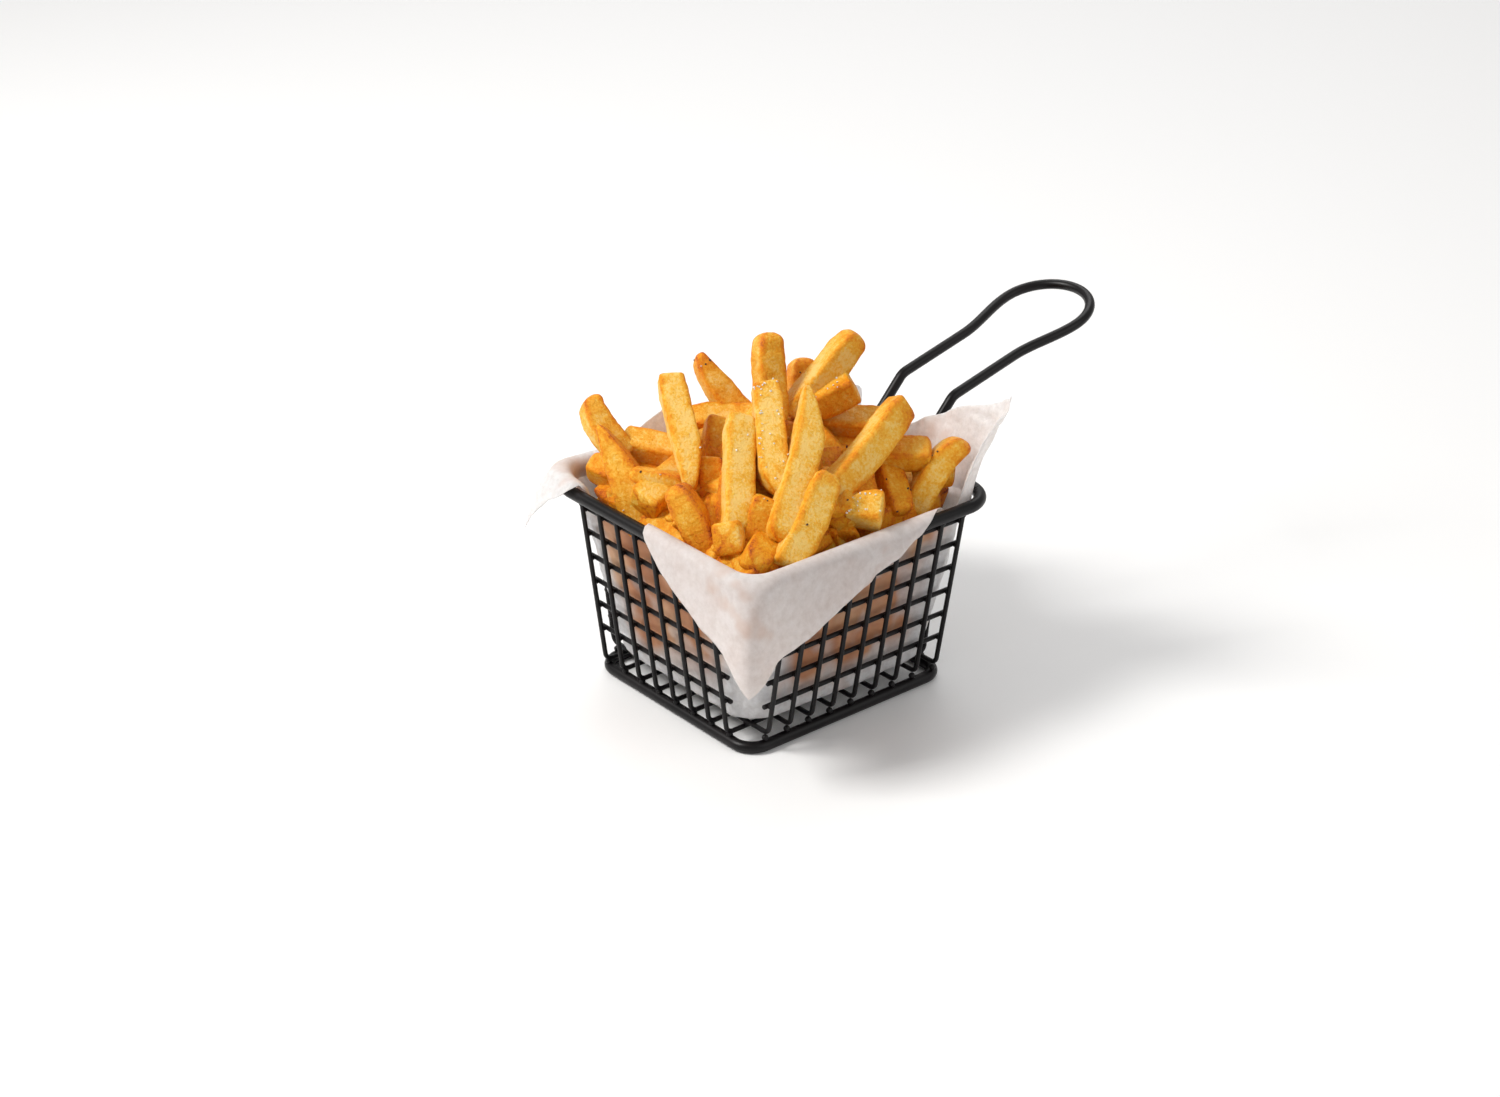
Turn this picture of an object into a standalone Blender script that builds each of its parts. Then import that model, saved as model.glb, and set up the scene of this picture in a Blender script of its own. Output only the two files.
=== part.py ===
"""A portion of french fries in a black wire mini fry basket lined with a sheet of greaseproof paper.

The basket is welded round wire: a heavy rim, a heavy foot frame, a looped handle on the back, and a mesh
of thin wires. Each upright wire of the mesh is one U that runs down one side, across the floor and up the
opposite side. Straight wires cross the uprights on their inner side. The paper lines the basket and its
four corners stand or fold over the rim. The fries are one solid: a mound with the upper fries standing
out of it.

Metres, +Z up, the handle towards +Y. The shapes are worked out about the middle of the basket, with the
table at z = 0, and the whole is then moved so that the origin is under the middle of its bounding box.
"""

import math
import random

import bmesh
import bpy
from mathutils import Matrix, Vector

GAP = 0.0003                     # clearance between pieces that touch
PITCH = 0.0095                   # mesh pitch, centre to centre

HEAVY_R = 0.0022                 # rim and foot frame wire
MESH_R = 0.00085                 # mesh wire
HANDLE_R = 0.0018                # handle wire
PAPER = 0.0004                   # modelled thickness of the paper

FOOT_X, FOOT_Y, FOOT_CORNER = 0.0405, 0.0436, 0.0075     # foot frame, centreline half sizes
FLOOR_X, FLOOR_Y = 0.0418, 0.0447                        # where the mesh walls leave the floor
RIM_X, RIM_Y, RIM_CORNER = 0.0535, 0.0537, 0.0120        # rim, centreline half sizes
RIM_UP = 0.0656                                          # rim centreline above the floor wires

FRONT_WIRES, FRONT_SHIFT = 8, -0.0029      # uprights in the front and back walls, and their offset in X
SIDE_WIRES, SIDE_SHIFT = 9, 0.0014         # uprights in the side walls, and their offset in Y
ROWS = 6                                   # straight wires up each wall
ROW_TOP, ROW_STEP = 0.0607, 0.0096         # the top one above the floor wires, and their spacing
STUB = 0.0019                              # a straight wire past the last upright's centre
UPRIGHT_BEND = 0.0030                      # inner bend of an upright where the wall meets the floor

FACET = math.cos(math.pi / 8)              # flat-to-centre over radius of an eight-sided wire
FOOT_Z = HEAVY_R * FACET
LOWER_Z = FOOT_Z + HEAVY_R * FACET + GAP + MESH_R          # floor wires that run along Y
UPPER_Z = LOWER_Z + 2 * MESH_R + GAP                       # floor wires that run along X
RIM_Z = LOWER_Z + RIM_UP
UPRIGHT_TOP = RIM_UP - HEAVY_R - GAP - 0.4 * MESH_R        # where an upright ends, above the floor wires
PAPER_Z = UPPER_Z + MESH_R + GAP                           # underside of the paper on the floor


def collection(name):
    made = bpy.data.collections.new(name)
    bpy.context.scene.collection.children.link(made)
    return made


def material(name, colour, roughness, metallic=0.0):
    made = bpy.data.materials.new(name)
    made.use_nodes = True
    shader = made.node_tree.nodes["Principled BSDF"]
    shader.inputs["Base Color"].default_value = (*colour, 1.0)
    shader.inputs["Roughness"].default_value = roughness
    shader.inputs["Metallic"].default_value = metallic
    return made


def filleted(corners, radius, steps, closed=False):
    """The corners joined by straight runs, each inner corner rounded by an arc of the radius."""
    points, count = [], len(corners)
    for i, corner in enumerate(corners):
        if not closed and i in (0, count - 1):
            points.append(corner)
            continue
        back = (corners[i - 1] - corner).normalized()
        ahead = (corners[(i + 1) % count] - corner).normalized()
        half = back.angle(ahead) / 2
        centre = corner + (back + ahead).normalized() * (radius / math.sin(half))
        start = corner + back * (radius / math.tan(half))
        axis = (start - centre).cross(-back).normalized()
        turn = math.pi - 2 * half
        for k in range(steps + 1):
            swing = Matrix.Rotation(turn * k / steps, 3, axis)
            points.append(centre + swing @ (start - centre))
    return points


def wire(name, points, radius, finish, closed=False, resolution=2, twist=0.0):
    """One round wire along the points, its ends capped. twist turns its facets about the path."""
    data = bpy.data.curves.new(name, "CURVE")
    data.dimensions = "3D"
    data.bevel_depth = radius
    data.bevel_resolution = resolution
    data.use_fill_caps = not closed
    spline = data.splines.new("POLY")
    spline.points.add(len(points) - 1)
    for slot, point in zip(spline.points, points):
        slot.co = (*point, 1.0)
        slot.tilt = twist
    spline.use_cyclic_u = closed
    data.materials.append(finish)
    made = bpy.data.objects.new(name, data)
    part.objects.link(made)
    return made


def ring(half_x, half_y, corner, z, steps):
    corners = [Vector((sx * half_x, sy * half_y, z)) for sx, sy in ((1, -1), (1, 1), (-1, 1), (-1, -1))]
    return filleted(corners, corner, steps, closed=True)


def wall_half(floor_half, rim_half, up):
    """Half the distance between two facing mesh walls, at a height above the floor wires."""
    return floor_half + (rim_half - floor_half) * up / RIM_UP


def u_wire(name, along, at, floor_half, rim_half, floor_z):
    """An upright: down one wall, over the floor and up the facing wall. along is 0 for X or 1 for Y."""
    top = wall_half(floor_half, rim_half, UPRIGHT_TOP)
    low = wall_half(floor_half, rim_half, floor_z - LOWER_Z)
    top_z = LOWER_Z + UPRIGHT_TOP
    corners = []
    for reach, z in ((-top, top_z), (-low, floor_z), (low, floor_z), (top, top_z)):
        corners.append(Vector((reach, at, z) if along == 0 else (at, reach, z)))
    return wire(name, filleted(corners, UPRIGHT_BEND, 3), MESH_R, black)


def straight_wire(name, wall, row):
    """A cross wire of one wall, on the inner side of the uprights. wall is front, back, right or left."""
    up = ROW_TOP - row * ROW_STEP
    inset = 2 * MESH_R + GAP
    if wall in ("front", "back"):
        reach, middle = (FRONT_WIRES - 1) * PITCH / 2 + STUB, FRONT_SHIFT
        out = (wall_half(FLOOR_Y, RIM_Y, up) - inset) * (1 if wall == "back" else -1)
        ends = [Vector((middle + s * reach, out, LOWER_Z + up)) for s in (-1, 1)]
    else:
        reach, middle = (SIDE_WIRES - 1) * PITCH / 2 + STUB, SIDE_SHIFT
        out = (wall_half(FLOOR_X, RIM_X, up) - inset) * (1 if wall == "right" else -1)
        ends = [Vector((out, middle + s * reach, LOWER_Z + up)) for s in (-1, 1)]
    return wire(name, ends, MESH_R, black)


# --- handle: one wire bent into a loop, its two legs welded to the outside of the rim ----------------

LEG_HALF, BULB_HALF = 0.0130, 0.0175       # half the width between the legs, and of the rounded end
LEG_FOOT, LEG_TOP = 0.0105, 0.0035         # a leg is upright from this far below the rim to this far above
LEG_BEND = 0.0060                          # rounding of the bends in a leg
LEG_RUN, FLARE_RUN = 0.030, 0.027          # straight leg, then the flare up to the rounded end
FLARE_STEPS, BULB_STEPS = 8, 16            # points along the flare, and round the end
SLOPE = math.atan(0.25)                    # the handle's plane rises away from the basket
ELBOW = Vector((0, 0.0718, 0.0897))        # where the upright stretch meets that plane


def handle_points():
    """Up the far leg, round the rounded end and back down the near leg."""
    out = RIM_Y + HEAVY_R + HANDLE_R + GAP
    direction = Vector((0, math.cos(SLOPE), math.sin(SLOPE)))
    far = ELBOW + direction * LEG_RUN
    side = [(out, RIM_Z - LEG_FOOT), (out, RIM_Z + LEG_TOP), (ELBOW.y, ELBOW.z), (far.y, far.z)]
    leg = filleted([Vector((-LEG_HALF, y, z)) for y, z in side], LEG_BEND, 4)
    flare = []
    for k in range(1, FLARE_STEPS + 1):
        share = k / FLARE_STEPS
        half = LEG_HALF + (BULB_HALF - LEG_HALF) * (3 * share**2 - 2 * share**3)
        flare.append(ELBOW + direction * (LEG_RUN + FLARE_RUN * share) - Vector((half, 0, 0)))
    centre = ELBOW + direction * (LEG_RUN + FLARE_RUN)
    bend = []
    for k in range(1, BULB_STEPS):
        angle = math.pi * k / BULB_STEPS
        bend.append(centre - Vector((BULB_HALF * math.cos(angle), 0, 0))
                    + direction * (BULB_HALF * math.sin(angle)))
    one_side = leg + flare
    return one_side + bend + [Vector((-p.x, p.y, p.z)) for p in reversed(one_side)]


# --- paper liner: a sheet pressed into the basket, with a flap at each corner -------------------------

FLOOR_CORNER, WALL_CORNER = 0.005, 0.013   # rounding of the paper at the floor, and at the rim
SIDE_POINTS, CORNER_POINTS = 9, 5          # grid points along a side, and round a corner
RIM_SLACK = 0.0008                         # the paper goes this loosely over the rim
FLOOR_SHARES = (0.35, 1.0)                 # grid loops on the floor, as shares of its size
WALL_SHARES = (0.05, 0.35, 0.68, 1.0)      # grid loops up the walls, as shares of their height
FLOOR_SETBACK = 0.006                      # the floor's outer loop is this far in from the walls
FLAP_ROWS = 8                              # grid steps from the rim to the sheet's edge
FLAP_CROWDING = 1.3                        # above 1 the steps crowd towards the rim
CORNER_TURN = 0.020                        # the flaps' outward direction turns over this much of a corner
PAPER_INSET = 4 * MESH_R + 2 * GAP         # from the uprights' centreline to the paper
LINING_TOP = RIM_Z - 0.001                 # up to here the paper follows the mesh

# At each corner the sheet's own corner reaches past the rim. height is how far its tip is from the rim.
# spread is how far the flap's two edges run along the rim, on the front or back and then on the side.
# late is the share of the edge's fall that comes near its end. lean is the angle at which the flap
# leaves the rim (90 stands up, 0 lies outward, -90 hangs down), reached where it is tipped[1] high; below
# tipped[0] the paper just stands.
FLAPS = {
    "front_right": dict(height=0.046, spread=(0.057, 0.078), late=0.35, lean=-86, tipped=(0.0, 0.012)),
    "back_right": dict(height=0.037, spread=(0.058, 0.018), late=0.10, lean=74, tipped=(0.0, 0.012)),
    "back_left": dict(height=0.038, spread=(0.050, 0.088), late=0.10, lean=-60, tipped=(0.012, 0.026)),
    "front_left": dict(height=0.031, spread=(0.017, 0.022), late=0.10, lean=-50, tipped=(0.0, 0.012)),
}
STANDING_LEAN = 80.0                       # where it isn't tipped over
LEAST_EDGE = 0.0015                        # the paper reaches at least this far past the lining


def loop(half_x, half_y, corner, z):
    """A rounded rectangle with the same number of points at every size, from the right side's start."""
    points = []
    for (sx, sy), turn in zip(((1, 1), (-1, 1), (-1, -1), (1, -1)), range(4)):
        middle = Vector((sx * (half_x - corner), sy * (half_y - corner), z))
        for k in range(CORNER_POINTS):
            angle = math.pi / 2 * (turn + k / (CORNER_POINTS - 1))
            points.append(middle + corner * Vector((math.cos(angle), math.sin(angle), 0)))
    whole = []
    for i, point in enumerate(points):
        whole.append(point)
        if i % CORNER_POINTS == CORNER_POINTS - 1:
            ahead = points[(i + 1) % len(points)]
            whole += [point.lerp(ahead, k / (SIDE_POINTS + 1)) for k in range(1, SIDE_POINTS + 1)]
    return whole


def flap_height(x, y):
    """Distance from the rim to the sheet's edge at a place on the rim, and the lean of the paper there."""
    best, lean = LEAST_EDGE, STANDING_LEAN
    for name, flap in FLAPS.items():
        sx = 1 if "right" in name else -1
        sy = 1 if "back" in name else -1
        along_x, along_y = RIM_X - sx * x, RIM_Y - sy * y
        run, which = max((along_x, 0), (along_y, 1))
        share = min(1.0, run / flap["spread"][which])
        rise = flap["height"] * (1 - (1 - flap["late"]) * share - flap["late"] * share**4)
        if rise > best:
            best = rise
            start, end = flap["tipped"]
            blend = max(0.0, min(1.0, (rise - start) / (end - start)))
            lean = STANDING_LEAN + (flap["lean"] - STANDING_LEAN) * blend
    return best, lean


def paper_rows():
    """Loops of points from the middle of the floor, up the walls, over the rim and out to the edge."""
    rows = []
    for share in FLOOR_SHARES:
        half_x, half_y = (FLOOR_X - FLOOR_SETBACK) * share, (FLOOR_Y - FLOOR_SETBACK) * share
        rows.append(loop(half_x, half_y, FLOOR_CORNER * share, PAPER_Z))
    for share in WALL_SHARES:
        z = PAPER_Z + (LINING_TOP - PAPER_Z) * share
        half_x = wall_half(FLOOR_X, RIM_X, z - LOWER_Z) - PAPER_INSET
        half_y = wall_half(FLOOR_Y, RIM_Y, z - LOWER_Z) - PAPER_INSET
        rows.append(loop(half_x, half_y, FLOOR_CORNER + (WALL_CORNER - FLOOR_CORNER) * share, z))
    lining = rows[-1]
    for k in range(1, FLAP_ROWS + 1):
        row = []
        for point in lining:
            height, lean = flap_height(point.x, point.y)
            around = rim_distance(point) + RIM_SLACK
            run = height * (k / FLAP_ROWS) ** FLAP_CROWDING
            row.append(point + flap_step(rim_normal(point), around, run, lean))
        rows.append(row)
    return rows


def rim_normal(point):
    """The outward direction at a place near the rim, turning gradually round each corner."""
    return past_core(point, CORNER_TURN).normalized()


def rim_distance(point):
    """How far inside the rim's centreline a point is."""
    return RIM_CORNER - past_core(point, RIM_CORNER).length


def past_core(point, margin):
    """The step to a point from the nearest place of a rectangle that lies the margin inside the rim."""
    core_x, core_y = RIM_X - margin, RIM_Y - margin
    return Vector((point.x - max(-core_x, min(core_x, point.x)),
                   point.y - max(-core_y, min(core_y, point.y)), 0))


def flap_step(outward, around, run, lean):
    """Offset from the top of the lining after a run: up to the rim's height, round it, then straight."""
    up = Vector((0, 0, 1))
    rise = min(run, RIM_Z - LINING_TOP)
    turn = math.pi / 2 - math.radians(lean)
    bend = min(turn, (run - rise) / around)
    straight = max(0.0, run - rise - turn * around)
    along = outward * math.sin(turn) + up * math.cos(turn)
    return (up * (rise + around * math.sin(bend)) + outward * (around * (1 - math.cos(bend)))
            + along * straight)


def paper_liner():
    rows = paper_rows()
    mesh = bmesh.new()
    grid = [[mesh.verts.new(point) for point in row] for row in rows]
    centre = mesh.verts.new((0, 0, PAPER_Z))
    count = len(grid[0])
    for i in range(count):
        j = (i + 1) % count
        mesh.faces.new((centre, grid[0][i], grid[0][j]))
        for low, high in zip(grid, grid[1:]):
            mesh.faces.new((low[j], low[i], high[i], high[j]))
    bmesh.ops.recalc_face_normals(mesh, faces=mesh.faces)
    data = bpy.data.meshes.new("paper_liner")
    mesh.to_mesh(data)
    mesh.free()
    data.materials.append(paper)
    made = bpy.data.objects.new("paper_liner", data)
    part.objects.link(made)
    wall = made.modifiers.new("thickness", "SOLIDIFY")
    wall.thickness = PAPER
    wall.offset = 0.0
    return made


# --- fries: a mound, with the upper fries standing out of it ------------------------------------------

# The fries that stand out, in millimetres: where one leaves the heap, where it ends, its width.
STANDING = (
    ((27, -40, 70), (30, -43, 84), 11),
    ((39, -36, 66), (42, -41, 80), 11),
    ((41, -28, 73), (37, -8, 94), 12),
    ((14, -39, 68), (8, -43, 91), 12),
    ((-15, -28, 77), (-7, -45, 76), 11),
    ((24, -34, 75), (3, -17, 107), 12),
    ((29, -22, 88), (3, -5, 111), 12),
    ((36, -26, 76), (17, 5, 112), 12),
    ((34, 1, 88), (30, 32, 106), 12),
    ((-4, 12, 95), (3, 36, 122), 12),
    ((-10, 22, 90), (-16, 26, 108), 11),
    ((-6, 4, 95), (-15, 10, 121), 12),
    ((4, -35, 80), (-25, -24, 111), 12),
    ((-28, 8, 86), (-43, 4, 106), 11),
    ((-30, -30, 82), (-50, -40, 99), 11),
    ((-22, -40, 70), (-36, -42, 95), 11),
    ((-29, -34, 73), (-44, -42, 73), 11),
    ((5, 20, 94), (6, 28, 105), 13),
    ((40, 30, 75), (43, 44, 92), 11),
    ((26, 18, 86), (40, 32, 89), 11),
    ((34, 0, 76), (42, -5, 80), 12),
    ((40, 12, 75), (41, 2, 82), 12),
    ((-36, -6, 84), (-12, 20, 88), 11),
    ((-14, 14, 88), (14, 38, 88), 11),
    ((-26, 30, 81), (-8, 39, 85), 11),
    ((-38, 14, 80), (-29, 35, 84), 11),
    ((16, 38, 79), (34, 38, 83), 11),
)
HEAP_BASE = PAPER_Z + PAPER + GAP          # the fries rest on the paper
HEAP_EDGE = 0.0690                         # height of the mound where it meets the paper
HEAP_CROWN = 0.0900                        # height of the mound at its middle
HEAP_INSET = 4 * MESH_R + 4 * GAP + PAPER  # from the uprights' centreline to the heap
HEAP_CUTS = 6                              # the mound's faces are divided this many times
DOME = 0.6                                 # the lower, the flatter the mound's top
UNEVEN = 0.002                             # the top is uneven by up to this much
ROUNDED = 0.10                             # share by which the mound's corners are drawn in
FOOT_IN = 0.004                            # the mound's lowest edge is drawn in by this much
FRY_ROOT = 0.004                           # a standing fry goes on into the mound by this much
FRY_FLAT = 0.92                            # a fry's thickness as a share of its width
FRY_TAPER = 0.86                           # its free end as a share of its root
FRY_SPIN = 37                              # each fry is turned this many degrees more about its length


def mound():
    """A tapered block that fills the lining, its top domed and uneven."""
    uneven = random.Random(7)
    mesh = bmesh.new()
    bmesh.ops.create_cube(mesh, size=2.0)
    bmesh.ops.subdivide_edges(mesh, edges=mesh.edges, cuts=HEAP_CUTS, use_grid_fill=True)
    for vert in mesh.verts:
        x, y, up = vert.co.x, vert.co.y, (vert.co.z + 1) / 2
        z = HEAP_BASE + (HEAP_EDGE - HEAP_BASE) * up
        half_x = wall_half(FLOOR_X, RIM_X, z - LOWER_Z) - HEAP_INSET
        half_y = wall_half(FLOOR_Y, RIM_Y, z - LOWER_Z) - HEAP_INSET
        rounding = 1 - ROUNDED * (x * x * y * y)
        if up > 0.999:
            dome = (1 - x * x) * (1 - y * y)
            z += (HEAP_CROWN - HEAP_EDGE) * dome ** DOME + uneven.uniform(-UNEVEN, UNEVEN) * (dome > 0.01)
        if up < 0.001:
            half_x -= FOOT_IN
            half_y -= FOOT_IN
        vert.co = (x * half_x * rounding, y * half_y * rounding, z)
    bmesh.ops.triangulate(mesh, faces=mesh.faces)
    data = bpy.data.meshes.new("fries")
    mesh.to_mesh(data)
    mesh.free()
    data.materials.append(potato)
    made = bpy.data.objects.new("fries", data)
    part.objects.link(made)
    return made


def fry_cutter(index, start, end, width):
    """One fry: a bar with its edges taken off, from inside the mound to its free end."""
    low, high = Vector(start) / 1000, Vector(end) / 1000
    direction = (high - low).normalized()
    low = low - direction * FRY_ROOT
    bpy.ops.mesh.primitive_cube_add(size=1.0)
    bar = bpy.context.object
    bar.name = f"fry_{index:02d}"
    size = (width / 1000, width / 1000 * FRY_FLAT, (high - low).length, 1.0)
    bar.data.transform(Matrix.Diagonal(size))
    taper(bar.data)
    turn = direction.to_track_quat("Z", "Y").to_matrix().to_4x4()
    spin = Matrix.Rotation(math.radians(FRY_SPIN * index % 90), 4, "Z")
    bar.data.transform(Matrix.Translation((low + high) / 2) @ turn @ spin)
    for held_by in list(bar.users_collection):
        held_by.objects.unlink(bar)
    cutters.objects.link(bar)
    bar.hide_render = True
    bar.display_type = "WIRE"
    return bar


def taper(data):
    """Narrows the free end a little, as a cut potato bar is."""
    for vert in data.vertices:
        if vert.co.z > 0:
            vert.co.x *= FRY_TAPER
            vert.co.y *= FRY_TAPER


def fries():
    heap = mound()
    for index, (start, end, width) in enumerate(STANDING):
        join = heap.modifiers.new(f"fry_{index:02d}", "BOOLEAN")
        join.operation = "UNION"
        join.object = fry_cutter(index, start, end, width)
    return heap


# --- assembly -----------------------------------------------------------------------------------------

for old in list(bpy.data.objects):
    bpy.data.objects.remove(old, do_unlink=True)

part = collection("french_fries_in_wire_basket")
cutters = collection("cutters")
black = material("black_powder_coat", (0.020, 0.019, 0.021), 0.38)
paper = material("greaseproof_paper", (0.86, 0.82, 0.80), 0.75)
potato = material("fried_potato", (0.86, 0.56, 0.20), 0.55)

wire("rim", ring(RIM_X, RIM_Y, RIM_CORNER, RIM_Z, 6), HEAVY_R, black, closed=True)
wire("foot_frame", ring(FOOT_X, FOOT_Y, FOOT_CORNER, FOOT_Z, 5), HEAVY_R, black, closed=True,
     twist=math.pi / 8)
wire("handle", handle_points(), HANDLE_R, black)
for i in range(FRONT_WIRES):
    at = (i - (FRONT_WIRES - 1) / 2) * PITCH + FRONT_SHIFT
    u_wire(f"upright_front_back_{i + 1}", 1, at, FLOOR_Y, RIM_Y, LOWER_Z)
for i in range(SIDE_WIRES):
    at = (i - (SIDE_WIRES - 1) / 2) * PITCH + SIDE_SHIFT
    u_wire(f"upright_side_{i + 1}", 0, at, FLOOR_X, RIM_X, UPPER_Z)
for wall in ("front", "right", "back", "left"):
    for row in range(ROWS):
        straight_wire(f"cross_{wall}_{row + 1}", wall, row)
paper_liner()
fries()


def centre_on_table():
    """Hangs everything from one empty and moves it so that the box's lower middle is the origin."""
    graph = bpy.context.evaluated_depsgraph_get()
    low, high = Vector((9, 9, 9)), Vector((-9, -9, -9))
    for piece in part.objects:
        for vert in piece.evaluated_get(graph).to_mesh().vertices:
            low = Vector(map(min, low, vert.co))
            high = Vector(map(max, high, vert.co))
    base = bpy.data.objects.new("table_point", None)
    part.objects.link(base)
    base.location = (-(low.x + high.x) / 2, -(low.y + high.y) / 2, -low.z)
    for piece in [*part.objects, *cutters.objects]:
        if piece is not base:
            piece.parent = base


centre_on_table()
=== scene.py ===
"""A portion of french fries in a lined wire serving basket: the looks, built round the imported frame."""

import math

import bpy
import numpy as np
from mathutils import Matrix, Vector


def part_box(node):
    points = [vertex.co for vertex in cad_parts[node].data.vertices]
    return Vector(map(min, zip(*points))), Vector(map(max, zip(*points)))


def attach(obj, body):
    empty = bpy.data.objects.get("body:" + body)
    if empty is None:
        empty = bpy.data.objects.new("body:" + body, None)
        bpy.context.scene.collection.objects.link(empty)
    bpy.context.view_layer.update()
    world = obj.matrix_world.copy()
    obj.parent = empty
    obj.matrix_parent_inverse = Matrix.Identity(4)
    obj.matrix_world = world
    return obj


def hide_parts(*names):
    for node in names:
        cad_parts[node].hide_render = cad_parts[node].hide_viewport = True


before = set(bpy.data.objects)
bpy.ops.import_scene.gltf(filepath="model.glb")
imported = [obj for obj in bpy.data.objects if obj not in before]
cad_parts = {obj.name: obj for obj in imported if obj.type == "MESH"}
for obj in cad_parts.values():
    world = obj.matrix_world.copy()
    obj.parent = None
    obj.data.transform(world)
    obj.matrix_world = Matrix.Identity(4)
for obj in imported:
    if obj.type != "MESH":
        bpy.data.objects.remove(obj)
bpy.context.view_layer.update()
MM = 0.001

# --- Where the basket stands, and the camera ----------------------------------------------------------
# The rim is a square of heavy wire centred on the basket, so its box gives the basket's middle. Every
# place below is in millimetres from the point on the table under that middle, and at() turns it to metres.

rim_box = np.array(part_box("rim"))
foot_box = np.array(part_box("foot_frame"))
MIDDLE = np.array([rim_box[:, 0].mean(), rim_box[:, 1].mean(), 0.0])


def at(points):
    """Millimetres from the table point under the basket's middle, turned to metres in the frame."""
    return np.asarray(points, float) * MM + MIDDLE


LOOK_AT = (-26.9, 13.0, 33.7)
CAMERA_AROUND, CAMERA_UP = math.radians(50.2), math.radians(26.6)    # from -Y round to +X, and upward
CAMERA_AWAY = 1034.7
LENS = 70.0

toward_camera = np.array([math.sin(CAMERA_AROUND) * math.cos(CAMERA_UP),
                          -math.cos(CAMERA_AROUND) * math.cos(CAMERA_UP), math.sin(CAMERA_UP)])


def aim(thing, place, target):
    """Puts a camera or light at a place and points its -Z axis at the target."""
    thing.location = place
    step = thing.location.copy()
    step.xyz = target - place
    thing.rotation_euler = step.to_track_quat("-Z", "Y").to_euler()
    bpy.context.scene.collection.objects.link(thing)


camera = bpy.data.objects.new("camera", bpy.data.cameras.new("camera"))
camera.data.lens = LENS
camera.data.clip_start = 0.01
aim(camera, at(np.array(LOOK_AT) + toward_camera * CAMERA_AWAY), at(LOOK_AT))
bpy.context.scene.camera = camera

# --- Studio floor and light ---------------------------------------------------------------------------
# A wide white floor under the basket, lit by a soft box from the camera's upper left, weaker ones from its
# right and from behind the basket, and an even white surround.

camera_right = np.array([math.cos(CAMERA_AROUND), math.sin(CAMERA_AROUND), 0.0])
camera_back = np.array([math.sin(CAMERA_AROUND), -math.cos(CAMERA_AROUND), 0.0])


def nodes_of(name):
    """A new material, its node tree and its shader."""
    made = bpy.data.materials.new(name)
    made.use_nodes = True
    tree = made.node_tree
    return made, tree, tree.nodes["Principled BSDF"]


def mesh_piece(name, points, faces, finish, attributes=(), smooth=True):
    """A mesh object in metres from an array of points and a list of face index arrays."""
    data = bpy.data.meshes.new(name)
    loops = np.concatenate([face.ravel() for face in faces]).astype(np.int32)
    sizes = np.concatenate([np.full(len(face), face.shape[1]) for face in faces])
    starts = np.concatenate([[0], np.cumsum(sizes)[:-1]]).astype(np.int32)
    data.vertices.add(len(points))
    data.vertices.foreach_set("co", np.asarray(points, np.float32).ravel())
    data.loops.add(len(loops))
    data.loops.foreach_set("vertex_index", loops)
    data.polygons.add(len(sizes))
    data.polygons.foreach_set("loop_start", starts)
    data.update(calc_edges=True)
    data.validate()
    data.polygons.foreach_set("use_smooth", np.full(len(data.polygons), smooth))
    for label, values in attributes:
        data.attributes.new(label, "FLOAT", "POINT").data.foreach_set("value", values.astype(np.float32))
    data.materials.append(finish)
    made = bpy.data.objects.new(name, data)
    bpy.context.scene.collection.objects.link(made)
    return made


FLOOR_REACH = 6.0               # metres from the basket to the floor's edges

floor_finish, tree, shader = nodes_of("studio_white")
shader.inputs["Base Color"].default_value = (0.95, 0.95, 0.95, 1)
shader.inputs["Roughness"].default_value = 0.7
floor_corners = MIDDLE + FLOOR_REACH * np.array([(-1, -1, 0), (1, -1, 0), (1, 1, 0), (-1, 1, 0)])
floor = mesh_piece("studio_floor", floor_corners, [np.arange(4)[None]], floor_finish)

world = bpy.data.worlds.new("studio")
bpy.context.scene.world = world
world.use_nodes = True
world.node_tree.nodes["Background"].inputs["Color"].default_value = (1.0, 0.99, 0.98, 1)
world.node_tree.nodes["Background"].inputs["Strength"].default_value = 0.46
bpy.context.scene.view_settings.view_transform = "Standard"

HEAP_MIDDLE = at((0, 0, 70))


def soft_box(name, right, back, up, size, power, tint):
    """A square area light at a place given to the camera's right, towards it and up, in metres."""
    light = bpy.data.lights.new(name, "AREA")
    light.size = size
    light.energy = power
    light.color = tint
    place = HEAP_MIDDLE + camera_right * right + camera_back * back + np.array([0, 0, up])
    aim(bpy.data.objects.new(name, light), place, HEAP_MIDDLE)


soft_box("key_box", -0.70, 0.15, 0.75, 0.36, 9.4, (1.0, 0.985, 0.96))
soft_box("fill_box", 1.3, 0.7, 0.9, 1.0, 4.6, (1.0, 0.99, 0.98))
soft_box("back_box", 0.1, -1.1, 1.2, 1.0, 6.6, (1.0, 1.0, 1.0))

# --- Heavy wires: rim, foot frame and handle ----------------------------------------------------------
# Round steel wire bent cold, its ends butt welded, and powder coated satin black with the mesh in one
# go. The rim lies over the tops of the uprights, the foot frame under the mesh floor.

HEAVY = (rim_box[1, 2] - rim_box[0, 2]) / 2 / MM
RIM_UP = rim_box[:, 2].mean() / MM
RIM_HALF = (rim_box[1, :2] - rim_box[0, :2]) / 2 / MM - HEAVY
RIM_CORNER = 12.0
FOOT_UP = foot_box[:, 2].mean() / MM
FOOT_HALF = (foot_box[1, :2] - foot_box[0, :2]) / 2 / MM - foot_box[:, 2].mean() / MM
FOOT_CORNER = 7.5
HEAVY_SIDES, HEAVY_STEP = 28, 0.6          # facets round the wire, and the spacing of points in a bend
CAP_BULGE = 0.35                           # a cut end bulges by this share of the radius


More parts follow.
